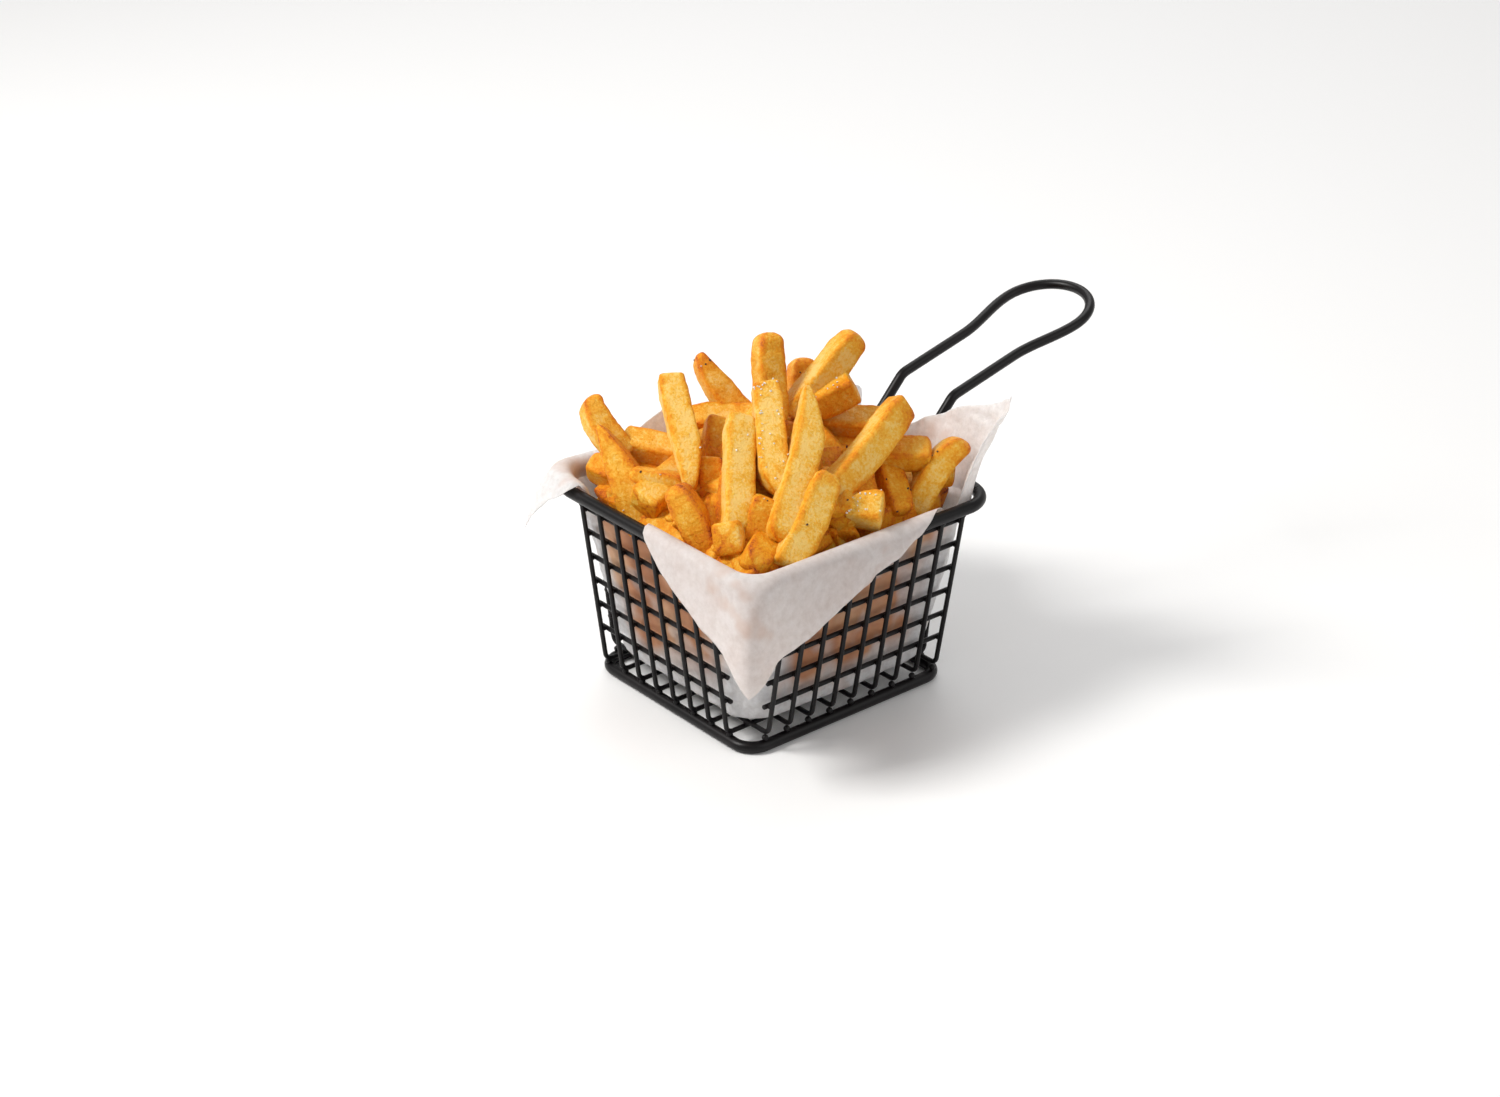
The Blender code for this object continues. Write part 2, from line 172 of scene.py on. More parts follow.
def rounded_path(corners, radius, closed, step):
    """Straight runs between the corners with an arc of the radius at each one, points a step apart."""
    corners, runs, count = np.asarray(corners, float), [], len(corners)
    for i in range(count):
        if not closed and i in (0, count - 1):
            runs.append(corners[i:i + 1])
            continue
        back, ahead = corners[i - 1] - corners[i], corners[(i + 1) % count] - corners[i]
        back, ahead = back / np.linalg.norm(back), ahead / np.linalg.norm(ahead)
        half = math.acos(np.clip(back @ ahead, -1, 1)) / 2
        centre = corners[i] + (back + ahead) / np.linalg.norm(back + ahead) * radius / math.sin(half)
        first = corners[i] + back * radius / math.tan(half) - centre
        turn = np.linspace(0, math.pi - 2 * half, max(4, int(radius * (math.pi - 2 * half) / step) + 2))
        runs.append(centre + np.outer(np.cos(turn), first) - np.outer(np.sin(turn), back) * radius)
    points = np.concatenate(runs + ([runs[0][:1]] if closed else []))
    along = np.concatenate([[0], np.cumsum(np.linalg.norm(np.diff(points, axis=0), axis=1))])
    grid = np.unique(np.concatenate([along, np.arange(0, along[-1], step * 4)]))
    dense = np.stack([np.interp(grid, along, points[:, k]) for k in range(3)], 1)
    return dense[:-1] if closed else dense


def tube(path, radius, sides, up, closed=False):
    """A circle of the radius carried along the path. up is any direction the path never takes. Open
    ends are closed by rings that shrink to a point as a half ball does, flattened to a cut end."""
    path = np.asarray(path, float)
    if closed:
        tangent = np.roll(path, -1, 0) - np.roll(path, 1, 0)
        ring_radius = np.full(len(path), radius)
    else:
        ease = np.linspace(0, math.pi / 2, 5)[:-1]
        start, finish = path[0] - path[1], path[-1] - path[-2]
        start, finish = start / np.linalg.norm(start), finish / np.linalg.norm(finish)
        cap = CAP_BULGE * radius
        head = path[0] + np.outer(np.cos(ease) * cap, start)
        tail = path[-1] + np.outer(np.cos(ease[::-1]) * cap, finish)
        path = np.concatenate([head, path, tail])
        shrink = radius * np.sqrt(np.sin(ease))
        ring_radius = np.concatenate([shrink, np.full(len(path) - 8, radius), shrink[::-1]])
        ring_radius[[0, -1]] = radius * 0.02
        tangent = np.gradient(path, axis=0)
        tangent[:5], tangent[-5:] = -start, finish
    tangent /= np.linalg.norm(tangent, axis=1)[:, None]
    across = np.cross(tangent, up)
    across /= np.linalg.norm(across, axis=1)[:, None]
    rise = np.cross(tangent, across)
    angle = np.linspace(0, 2 * math.pi, sides, endpoint=False)
    circle = across[:, None] * np.cos(angle)[:, None] + rise[:, None] * np.sin(angle)[:, None]
    points = path[:, None] + circle * ring_radius[:, None, None]
    return points, closed


def bands(low, high):
    """Quads between rows of point indices, where each row is a closed ring."""
    return np.stack([low, np.roll(low, -1, 1), np.roll(high, -1, 1), high], -1).reshape(-1, 4)


def joined(pieces):
    """Joins pieces, each some rings of points and whether they close on themselves, into one array of points
    and the faces' indices. A many-sided face shuts each open end, and the faces are turned outward."""
    points, quads, ends, base = [], [], [], 0
    for rings, closed in pieces:
        rows, sides = rings.shape[:2]
        index = base + np.arange(rows * sides).reshape(rows, sides)
        here, ahead = rings[rows // 2], rings[rows // 2 + 1]
        if np.cross(here[1] - here[0], ahead[0] - here[0]) @ (here[0] - here.mean(0)) < 0:
            index = index[:, ::-1]
        low = index if closed else index[:-1]
        high = np.roll(index, -1, 0) if closed else index[1:]
        quads.append(bands(low, high))
        if not closed:
            ends += [index[:1, ::-1], index[-1:]]
        points.append(rings.reshape(-1, 3))
        base += rows * sides
    return np.concatenate(points), [np.concatenate(quads)] + ends


def noise(tree, scale, detail=2.0, rough=0.5):
    """Noise over the object's own coordinates: scale is its waves to the metre."""
    place, made = tree.nodes.new("ShaderNodeTexCoord"), tree.nodes.new("ShaderNodeTexNoise")
    made.inputs["Scale"].default_value = scale
    made.inputs["Detail"].default_value = detail
    made.inputs["Roughness"].default_value = rough
    tree.links.new(place.outputs["Object"], made.inputs["Vector"])
    return made.outputs["Fac"]


def ramp(tree, source, stops):
    """A colour for each value of the source, from stops that pair a position with a colour."""
    made = tree.nodes.new("ShaderNodeValToRGB")
    while len(made.color_ramp.elements) < len(stops):
        made.color_ramp.elements.new(0.5)
    for element, (position, colour) in zip(made.color_ramp.elements, stops):
        element.position, element.color = position, (*colour, 1)
    tree.links.new(source, made.inputs["Fac"])
    return made.outputs["Color"]


def stretched(tree, source, low, high, first=0.0, last=1.0):
    """The source's values from first to last, stretched to run from low to high."""
    made = tree.nodes.new("ShaderNodeMapRange")
    for label, value in (("From Min", first), ("From Max", last), ("To Min", low), ("To Max", high)):
        made.inputs[label].default_value = value
    tree.links.new(source, made.inputs["Value"])
    return made.outputs["Result"]


def roughen(tree, shader, *layers):
    """Bumps laid one over the other on the shader. A layer is a height, a strength and a depth in metres."""
    below = None
    for height, strength, depth in layers:
        made = tree.nodes.new("ShaderNodeBump")
        made.inputs["Strength"].default_value, made.inputs["Distance"].default_value = strength, depth
        tree.links.new(height, made.inputs["Height"])
        if below:
            tree.links.new(below, made.inputs["Normal"])
        below = made.outputs["Normal"]
    tree.links.new(below, shader.inputs["Normal"])


def powder_coat():
    """Satin black powder coat: near black with a fine orange-peel bump and uneven gloss."""
    made, tree, shader = nodes_of("black_powder_coat")
    patches = noise(tree, 60)
    tint = ramp(tree, patches, ((0.35, (0.0020, 0.0015, 0.0018)), (0.70, (0.0060, 0.0044, 0.0050))))
    tree.links.new(tint, shader.inputs["Base Color"])
    tree.links.new(stretched(tree, patches, 0.30, 0.46), shader.inputs["Roughness"])
    roughen(tree, shader, (noise(tree, 1400), 0.25, 0.00006))
    shader.inputs["Specular IOR Level"].default_value = 0.26
    return made


black = powder_coat()


def square_ring(half, corner, up, radius, name, node):
    """A closed wire round a rounded square of the half sizes, standing for a node."""
    corners = [(sx * half[0], sy * half[1], up) for sx, sy in ((1, -1), (1, 1), (-1, 1), (-1, -1))]
    path = rounded_path(corners, corner, True, HEAVY_STEP)
    points, faces = joined([tube(path, radius, HEAVY_SIDES, (0, 0, 1), closed=True)])
    made = mesh_piece(name, at(points), faces, black)
    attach(made, "root")
    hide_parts(node)


square_ring(RIM_HALF, RIM_CORNER, RIM_UP, HEAVY, "rim_wire", "rim")
square_ring(FOOT_HALF, FOOT_CORNER, FOOT_UP, FOOT_UP, "foot_frame_wire", "foot_frame")

# The handle is one thinner wire: two legs welded to the outside of the rim, an elbow, straight legs that
# rise away from the basket, and a wider rounded end.

HANDLE = 1.8                               # its wire's radius
LEG_HALF, BULB_HALF = 13.0, 17.5           # half the width between the legs, and of the round end
LEG_FOOT, LEG_TOP, LEG_BEND = 10.5, 3.5, 6.0    # upright from below the rim to above it, then bent
LEG_RUN, FLARE_RUN = 30.0, 27.0            # from the elbow, and from there to the round end
SLOPE = math.atan(0.25)
ELBOW_OUT, ELBOW_UP = 71.8, 89.7
LEG_OUT = RIM_HALF[1] + HEAVY + HANDLE


def handle_path():
    """One leg from the rim to the flare, whose half width follows a smooth step, then the round end as
    a half circle, and the same leg mirrored."""
    ahead = np.array([0, math.cos(SLOPE), math.sin(SLOPE)])
    elbow = np.array([0, ELBOW_OUT, ELBOW_UP])
    far = elbow + ahead * LEG_RUN
    side = np.array([-LEG_HALF, 0, 0])
    corners = [(0, LEG_OUT, RIM_UP - LEG_FOOT), (0, LEG_OUT, RIM_UP + LEG_TOP), elbow, far]
    leg = rounded_path(np.array(corners) + side, LEG_BEND, False, HEAVY_STEP)
    share = np.linspace(0, 1, 40)[1:]
    half = LEG_HALF + (BULB_HALF - LEG_HALF) * (3 * share**2 - 2 * share**3)
    flare = far + np.outer(share * FLARE_RUN, ahead) - np.outer(half, (1, 0, 0))
    angle = np.linspace(0, math.pi, 60)[1:-1]
    centre = far + ahead * FLARE_RUN
    across, along = BULB_HALF * np.cos(angle), BULB_HALF * np.sin(angle)
    bend = centre - np.outer(across, (1, 0, 0)) + np.outer(along, ahead)
    one = np.concatenate([leg, flare])
    return np.concatenate([one, bend, one[::-1] * (-1, 1, 1)])


points, faces = joined([tube(handle_path(), HANDLE, 24, (0, -0.64, 0.77))])
handle = mesh_piece("handle_wire", at(points), faces, black)
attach(handle, "root")
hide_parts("handle")

# --- Mesh wires ---------------------------------------------------------------------------------------
# Thin steel wires, spot welded where they cross: each upright is one U down a wall, over the floor and
# up the facing wall, and short straight wires cross the uprights on their inner side.

THIN, THIN_SIDES = 0.85, 14                # radius and facets
PITCH = 9.5
FLOOR_HALF = np.array([41.8, 44.7])
FRONT_COUNT, FRONT_SHIFT, SIDE_COUNT, SIDE_SHIFT = 8, -2.9, 9, 1.4
ROWS, ROW_TOP, ROW_STEP, STUB = 6, 60.7, 9.6, 1.9
UPRIGHT_BEND = 3.0
GAP = 0.3
LOWER_UP = 2 * FOOT_UP + GAP + THIN
UPPER_UP = LOWER_UP + 2 * THIN + GAP


def wall_half(up):
    """Half the distances between facing walls along x and y: they lean out straight from floor to rim."""
    return FLOOR_HALF + (RIM_HALF - FLOOR_HALF) * (up - LOWER_UP) / (RIM_UP - LOWER_UP)


def upright_path(axis, place, floor_up):
    """Down a wall, over the floor and up the facing wall, along X for axis 0 and along Y for axis 1."""
    top_up = RIM_UP - HEAVY - GAP - 0.4 * THIN
    top, low = wall_half(top_up)[axis], wall_half(floor_up)[axis]
    reach = np.array([-top, -low, low, top])
    up = np.array([top_up, floor_up, floor_up, top_up])
    still = np.full(4, place)
    corners = np.stack([reach, still, up] if axis == 0 else [still, reach, up], 1)
    return rounded_path(corners, UPRIGHT_BEND, False, 0.5)


front_places = (np.arange(FRONT_COUNT) - (FRONT_COUNT - 1) / 2) * PITCH + FRONT_SHIFT
side_places = (np.arange(SIDE_COUNT) - (SIDE_COUNT - 1) / 2) * PITCH + SIDE_SHIFT
row_ups = LOWER_UP + ROW_TOP - np.arange(ROWS) * ROW_STEP

upright_tubes = [tube(upright_path(1, x, LOWER_UP), THIN, THIN_SIDES, (1, 0, 0)) for x in front_places]
upright_tubes += [tube(upright_path(0, y, UPPER_UP), THIN, THIN_SIDES, (0, 1, 0)) for y in side_places]
points, faces = joined(upright_tubes)
uprights = mesh_piece("upright_wires", at(points), faces, black)
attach(uprights, "root")
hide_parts(*[f"upright_front_back_{i + 1}" for i in range(FRONT_COUNT)],
            *[f"upright_side_{i + 1}" for i in range(SIDE_COUNT)])

cross_tubes = []
inset = 2 * THIN + GAP
for up in row_ups:
    out_x, out_y = wall_half(up) - inset
    x_ends = (front_places[0] - STUB, front_places[-1] + STUB)
    y_ends = (side_places[0] - STUB, side_places[-1] + STUB)
    for sign in (-1, 1):
        along_x = np.linspace((x_ends[0], sign * out_y, up), (x_ends[1], sign * out_y, up), 12)
        along_y = np.linspace((sign * out_x, y_ends[0], up), (sign * out_x, y_ends[1], up), 12)
        cross_tubes += [tube(path, THIN, THIN_SIDES, (0, 0, 1)) for path in (along_x, along_y)]
points, faces = joined(cross_tubes)
cross_wires = mesh_piece("cross_wires", at(points), faces, black)
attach(cross_wires, "root")
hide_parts(*[f"cross_{wall}_{row + 1}" for wall in ("front", "right", "back", "left")
                           for row in range(ROWS)])


def blobs(centres, sizes):
    """Small rounded lumps: a ball of 5 rings and 2 poles stretched by each lump's three half sizes."""
    rows, sides = 5, 8
    lat = np.linspace(-math.pi / 2, math.pi / 2, rows + 2)[1:-1, None]
    lon = np.linspace(0, 2 * math.pi, sides, endpoint=False)
    ball = [np.cos(lat) * np.cos(lon), np.cos(lat) * np.sin(lon), np.sin(lat) + 0 * lon]
    shape = np.concatenate([[(0, 0, -1)], np.stack(ball, -1).reshape(-1, 3), [(0, 0, 1)]])
    index = 1 + np.arange(rows * sides).reshape(rows, sides)
    bottom = np.stack([np.zeros(sides, int), np.roll(index[0], -1), index[0]], -1)
    top = np.stack([np.full(sides, rows * sides + 1), index[-1], np.roll(index[-1], -1)], -1)
    points = (np.asarray(centres)[:, None] + shape[None] * np.asarray(sizes)[:, None]).reshape(-1, 3)
    shift = np.arange(len(centres))[:, None, None] * len(shape)
    faces = (bands(index[:-1], index[1:]), bottom, top)
    return points, [(part + shift).reshape(-1, part.shape[1]) for part in faces]


# Weld nuggets, by where they sit: half sizes of each.
CROSS_WELD, END_WELD = (0.95, 0.95, 0.95), (1.15, 1.15, 0.8)
FOOT_WELD, LEG_WELD = (1.2, 1.2, 1.2), (1.6, 0.9, 1.6)

weld_centres = []
for up in row_ups:
    out_x, out_y = wall_half(up) - THIN - GAP / 2
    weld_centres += [(x, s * out_y, up) for x in front_places for s in (-1, 1)]
    weld_centres += [(s * out_x, y, up) for y in side_places for s in (-1, 1)]
weld_centres += [(x, y, LOWER_UP + THIN + GAP / 2) for x in front_places for y in side_places]
end_up = RIM_UP - HEAVY - 0.25
end_x, end_y = wall_half(end_up)
end_welds = [(x, s * end_y, end_up) for x in front_places for s in (-1, 1)]
end_welds += [(s * end_x, y, end_up) for y in side_places for s in (-1, 1)]
foot_welds = [(x, s * FOOT_HALF[1], LOWER_UP - THIN - GAP / 2) for x in front_places for s in (-1, 1)]
foot_welds += [(s * FOOT_HALF[0], y, 2 * FOOT_UP + 0.9) for y in side_places for s in (-1, 1)]
leg_welds = [(s * LEG_HALF, LEG_OUT - HANDLE + 0.1, RIM_UP) for s in (-1, 1)]
weld_sizes = [CROSS_WELD] * len(weld_centres) + [END_WELD] * len(end_welds) + [FOOT_WELD] * len(foot_welds)
weld_sizes += [LEG_WELD] * len(leg_welds)
points, faces = blobs(weld_centres + end_welds + foot_welds + leg_welds, weld_sizes)
welds = mesh_piece("weld_nuggets", at(points), faces, black)
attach(welds, "root")

# --- Paper liner --------------------------------------------------------------------------------------
# One square of thin greaseproof paper pushed into the basket: flat on the mesh floor, up inside the four
# walls and past the rim at the corners, where its own corners hang or stand. Nothing fixes it.

LINING_TOP = RIM_UP - 1.0
PAPER_UP = UPPER_UP + THIN + GAP
WALL_INSET = 4 * THIN + 2 * GAP
FLOOR_CORNER, WALL_CORNER = 12.0, 8.0      # rounding of the paper at the floor, and at the rim
FLOOR_SETBACK = 6.0                        # the flat floor ends this far in from the walls
SIDE_POINTS, CORNER_POINTS = 56, 27
FLOOR_ROWS, WALL_ROWS, FLAP_ROWS = 8, 40, 44
RIM_SLACK = 0.4
TOP_EASE = 0.9                             # above the top cross wire the paper leans out to the rim
CORNER_TURN = 20.0                         # the flaps' outward direction turns over this much of a corner
SHEET_SIDE, SHEET_THICK = 0.22, 0.00025    # metres

# Each of the sheet's corners past the rim: height is its tip's distance from the rim, spread how far its
# edges run along the front or back wall and along the side wall, late the share of their fall that comes
# near the end, lean the angle it leaves the rim at (90 stands, 0 lies outward, -90 hangs), reached where
# the flap is tipped[1] high, sharp how far the fold down its middle squares the corner off, curl the
# turn still to come towards its tip, and pull how far its tip is drawn along x and y. point lengthens
# the tip itself, and lift and radius raise the bend over the rim and set its radius.
FLAPS = {
    (1, -1): dict(height=43.5, point=4.0, spread=(56, 88), late=(0.26, 0.10), lean=-87, tipped=(0, 10),
                  sharp=8.0, curl=0, pull=(0, 0)),
    (1, 1): dict(height=40.0, point=0, spread=(60, 15), late=(0.10, 0.85), lean=80, tipped=(0, 10),
                 sharp=2.6, curl=-14, pull=(0, 0)),
    (-1, 1): dict(height=38.0, point=0, spread=(50, 88), late=(0.10, 0.10), lean=-62, tipped=(14, 28),
                  sharp=3.0, curl=-10, pull=(0, 0)),
    (-1, -1): dict(height=34.0, point=4.0, spread=(19, 34), late=(0.35, 0.10), lean=-56, tipped=(0, 9),
                   sharp=3.0, curl=-6, pull=(8, 0), lift=3.0, radius=4.0),
}
STANDING_LEAN = 80.0                       # where it isn't tipped over
LEAST_EDGE = 0.8                           # the paper reaches at least this far past the lining


def wander(points, size, seed, octaves=3):
    """Smooth pseudo-random height from -1 to 1 at each point: sums of sines whose directions, drawn with
    the seed, are bent by each other, at the wave size given and halves of it."""
    rng, flat = np.random.default_rng(seed), points.reshape(-1, 3)
    total, weight = np.zeros(len(flat)), 0.0
    for octave in range(octaves):
        scale, value = size / 2**octave, np.zeros(len(flat))
        for _ in range(5):
            direction = rng.normal(size=3)
            direction *= 2 * math.pi / scale / np.linalg.norm(direction)
            bend = rng.normal(size=3) * 1.4 / scale
            value += np.sin(flat @ direction + 2.2 * np.sin(flat @ bend + rng.uniform(0, 6.3))
                            + rng.uniform(0, 6.3))
        total += value / 2.6 * 0.55**octave
        weight += 0.55**octave
    return np.clip(total / weight, -1.6, 1.6).reshape(points.shape[:-1])


def smooth(low, high, value):
    """The smooth step 3s^2 - 2s^3 of the value's share s of the way from low to high."""
    share = np.clip((value - low) / (high - low), 0, 1)
    return share * share * (3 - 2 * share)


# Columns round the liner: each is a place on a rectangle's core and an outward direction, so that a
# rounded rectangle of any size is core * (half - corner) + outward * corner.
cores, outwards = [], []
QUARTERS = ((1, -1), (1, 1), (-1, 1), (-1, -1))
for turn, (sx, sy) in enumerate(QUARTERS):
    angle = np.linspace(-math.pi / 2, 0, CORNER_POINTS) + turn * math.pi / 2
    cores.append(np.tile((sx, sy), (CORNER_POINTS, 1)))
    outwards.append(np.stack([np.cos(angle), np.sin(angle)], 1))
    ahead = QUARTERS[(turn + 1) % 4]
    share = np.linspace(0, 1, SIDE_POINTS + 2)[1:-1, None]
    cores.append((1 - share) * (sx, sy) + share * ahead)
    outwards.append(np.tile(outwards[-1][-1], (SIDE_POINTS, 1)))
cores, outwards = np.concatenate(cores).astype(float), np.concatenate(outwards)
columns = len(cores)


def loop(half, corner, up):
    """A rounded rectangle of the half sizes at a height, one point for each column."""
    flat = cores * (np.asarray(half) - corner) + outwards * corner
    return np.concatenate([flat, np.full((columns, 1), up)], 1)


def flap_columns():
    """What the paper does past the rim at every column: height, lean, sharpness, curl, pull, lift and
    radius. A flap's height falls from its corner along both edges: by the distance round the corner,
    then along the wall. Where flaps meet, the higher one wins."""
    height, lean = np.full(columns, LEAST_EDGE), np.full(columns, STANDING_LEAN)
    sharp, curl, pull = np.full(columns, 2.0), np.zeros(columns), np.zeros((columns, 2))
    lift, radius = np.zeros(columns), np.zeros(columns)
    for (sx, sy), flap in FLAPS.items():
        swing = np.abs(np.arctan2(outwards @ (-sy, sx), outwards @ (sx, sy)))
        here = (cores @ (sx, sy) > 1.999)
        along_x, along_y = (1 - sx * cores[:, 0]), (1 - sy * cores[:, 1])
        run_x, run_y = along_x * (RIM_HALF[0] - RIM_CORNER), along_y * (RIM_HALF[1] - RIM_CORNER)
        on_side = run_y > run_x
        run = np.where(here, RIM_CORNER * swing / (math.pi / 4), RIM_CORNER + np.maximum(run_x, run_y))
        toward_side = np.where(here, (outwards @ (sx, 0)) > (outwards @ (0, sy)), on_side)
        spread = np.where(toward_side, flap["spread"][1], flap["spread"][0])
        share = np.clip(run / spread, 0, 1)
        late = np.where(toward_side, flap["late"][1], flap["late"][0])
        rise = flap["height"] * (1 - (1 - late) * share - late * share**12)
        rise = rise + flap["point"] * np.clip(1 - run / RIM_CORNER, 0, 1)
        wins = rise > height
        tip = smooth(*flap["tipped"], rise)
        height = np.where(wins, rise, height)
        lean = np.where(wins, STANDING_LEAN + (flap["lean"] - STANDING_LEAN) * tip, lean)
        sharp, curl = np.where(wins, flap["sharp"], sharp), np.where(wins, flap["curl"] * tip, curl)
        pull = np.where(wins[:, None], np.array(flap["pull"]) * (rise / flap["height"])[:, None]**2, pull)
        lift = np.where(wins, flap.get("lift", 0.0) * tip * rise / flap["height"], lift)
        radius = np.where(wins, flap.get("radius", 0.0), radius)
    return height, lean, sharp, curl, pull, lift, radius


def paper_rows():
    """Loops from the middle of the floor, up the walls, then past the rim: each column goes straight up
    to the rim's height, bends round the rim's wire at the lining's distance from it, and runs on at its
    lean, turning further by its curl. A sharper corner is pushed out by the superellipse formula."""
    floor_half = FLOOR_HALF - FLOOR_SETBACK
    rows = [loop(floor_half * s, FLOOR_CORNER * s, PAPER_UP) for s in np.linspace(0.03, 1, FLOOR_ROWS)]
    for share in np.linspace(0.03, 1, WALL_ROWS):
        up = PAPER_UP + (LINING_TOP - PAPER_UP) * share
        inset = WALL_INSET - TOP_EASE * smooth(row_ups[0] + THIN, LINING_TOP, up)
        rows.append(loop(wall_half(up) - inset, FLOOR_CORNER + (WALL_CORNER - FLOOR_CORNER) * share, up))
    lining = rows[-1]
    height, lean, sharp, curl, pull, lift, radius = flap_columns()
    inner = RIM_HALF - CORNER_TURN
    past = lining[:, :2] - np.clip(lining[:, :2], -inner, inner)
    normal = past / np.linalg.norm(past, axis=1)[:, None]
    ring = RIM_HALF - RIM_CORNER
    from_core = lining[:, :2] - np.clip(lining[:, :2], -ring, ring)
    round_rim = RIM_CORNER - np.linalg.norm(from_core, axis=1) + RIM_SLACK
    rise = np.minimum(height, RIM_UP - LINING_TOP + lift)
    round_rim = np.where(radius > 0, radius, round_rim)
    turn = math.pi / 2 - np.radians(lean)
    fine = 220
    shares = np.linspace(0, 1, FLAP_ROWS + 1)[1:] ** 1.25
    run = np.linspace(0, 1, fine)[None] * height[:, None]
    bend = np.clip((run - rise[:, None]) / round_rim[:, None], 0, turn[:, None])
    rest = np.clip(run - rise[:, None] - (turn * round_rim)[:, None], 0, None)
    total_rest = np.maximum(rest[:, -1:], 1e-6)
    angle = bend - np.radians(curl)[:, None] * (rest / total_rest) ** 1.5
    step = np.diff(run, axis=1, prepend=0)
    out, up = np.cumsum(np.sin(angle) * step, 1), np.cumsum(np.cos(angle) * step, 1)
    for share in shares:
        k = int(round(share * (fine - 1)))
        point = lining.copy()
        point[:, :2] += normal * out[:, k:k + 1]
        point[:, 2] += up[:, k]
        squareness = 2 + (sharp - 2) * smooth(6, 26, run[:, k])
        core = np.clip(point[:, :2], -ring, ring)
        over = point[:, :2] - core
        size = np.linalg.norm(over, axis=1)
        unit = np.abs(over) / np.maximum(size, 1e-6)[:, None]
        grow = (unit[:, 0] ** squareness + unit[:, 1] ** squareness) ** (-1 / squareness)
        point[:, :2] = core + over * grow[:, None] + pull * share**2
        rows.append(point)
    return np.array(rows), height


def grid_normals(grid):
    """Unit normals of a grid of points whose rows are closed rings."""
    normal = np.cross(np.roll(grid, -1, 1) - np.roll(grid, 1, 1), np.gradient(grid, axis=0))
    return normal / np.maximum(np.linalg.norm(normal, axis=2), 1e-9)[..., None]


def crumple(rows, height):
    """Moves the paper along its own normal, in millimetres: soft waves, and sharp creases where a wave
    folds back on itself (its absolute value). Little on the walls between the wires, more on the free
    flaps, least on the two at the front, and upright pleats gathered into each corner."""
    normal = grid_normals(rows)
    wave = wander(rows, 34.0, 11, 2)
    fold, fine_fold = np.abs(wander(rows, 27.0, 23, 2)), np.abs(wander(rows, 11.0, 5, 2))
    level = np.arange(len(rows))[:, None]
    first_wall, first_flap = FLOOR_ROWS, FLOOR_ROWS + WALL_ROWS
    on_wall = ((level >= first_wall) & (level < first_flap)).astype(float)
    past_rim = smooth(first_flap + 0.32 * FLAP_ROWS, first_flap + FLAP_ROWS, level.astype(float))
    up_wall = np.clip((level - first_wall) / WALL_ROWS, 0, 1)
    free = past_rim * np.clip(height / 20, 0, 1) * np.where(cores[:, 1] < -0.3, 0.4, 1.0)
    at_corner = np.abs(outwards[:, 0] * outwards[:, 1])[None] * 2
    swing = np.arctan2(outwards[:, 1], outwards[:, 0])[None]
    pleat = np.abs(np.sin(4 * swing + 1.3 * (1 - up_wall))) - 0.5
    shift = on_wall * (0.45 * wave - 0.5 * fold - 0.35 * fine_fold + 0.2)
    shift -= on_wall * at_corner * 1.6 * (0.25 + up_wall) * (1 - smooth(0.9, 1.0, up_wall)) * (0.6 - pleat)
    shift += free * (1.5 * wave + 1.3 * (0.35 - fold) - 0.8 * fine_fold)
    return rows + normal * shift[..., None]


def paper_finish():
    """Greaseproof paper: cool white with a faint mottle of its fibres, grease that darkens and yellows it
    in patches, the same tint over the hanging front flap as painted shade, and the fries' orange-brown
    showing through where they press against the walls."""
    made, tree, shader = nodes_of("greaseproof_paper")

    def tinted(label, colour, scale, detail, rough, stops):
        """Lays a mottled colour over another by the share that a point attribute holds."""
        share, mix = tree.nodes.new("ShaderNodeAttribute"), tree.nodes.new("ShaderNodeMix")
        share.attribute_name, mix.data_type = label, "RGBA"
        tree.links.new(share.outputs["Fac"], mix.inputs["Factor"])
        tree.links.new(colour, mix.inputs["A"])
        tree.links.new(ramp(tree, noise(tree, scale, detail, rough), stops), mix.inputs["B"])
        return mix.outputs["Result"]

    colour = ramp(tree, noise(tree, 420, 6, 0.65), (
        (0.34, (0.64, 0.60, 0.58)), (0.50, (0.72, 0.685, 0.67)), (0.66, (0.79, 0.76, 0.75))))
    # grease tint: real grease spots, and painted shade over the hanging front flap
    colour = tinted("grease_and_shade", colour, 90, 4, 0.6, (
        (0.34, (0.56, 0.385, 0.32)), (0.66, (0.66, 0.53, 0.475))))
    colour = tinted("show_through", colour, 55, 3, 0.5, (
        (0.34, (0.40, 0.13, 0.045)), (0.50, (0.54, 0.21, 0.090)), (0.66, (0.64, 0.34, 0.19))))
    tree.links.new(colour, shader.inputs["Base Color"])
    roughen(tree, shader, (noise(tree, 120, 5, 0.55), 0.3, 0.0007), (noise(tree, 900, 4, 0.6), 0.35, 0.00012))
    shader.inputs["Roughness"].default_value = 0.55
    shader.inputs["Specular IOR Level"].default_value = 0.35
    shader.inputs["Subsurface Weight"].default_value = 0.5
    shader.inputs["Subsurface Scale"].default_value = 1.0
    shader.inputs["Subsurface Radius"].default_value = (0.002, 0.0018, 0.0016)
    return made


paper_grid, flap_heights = paper_rows()
paper_grid = crumple(paper_grid, flap_heights)
flat_points = paper_grid.reshape(-1, 3)
wall_level = (np.arange(len(paper_grid)) - FLOOR_ROWS) / WALL_ROWS
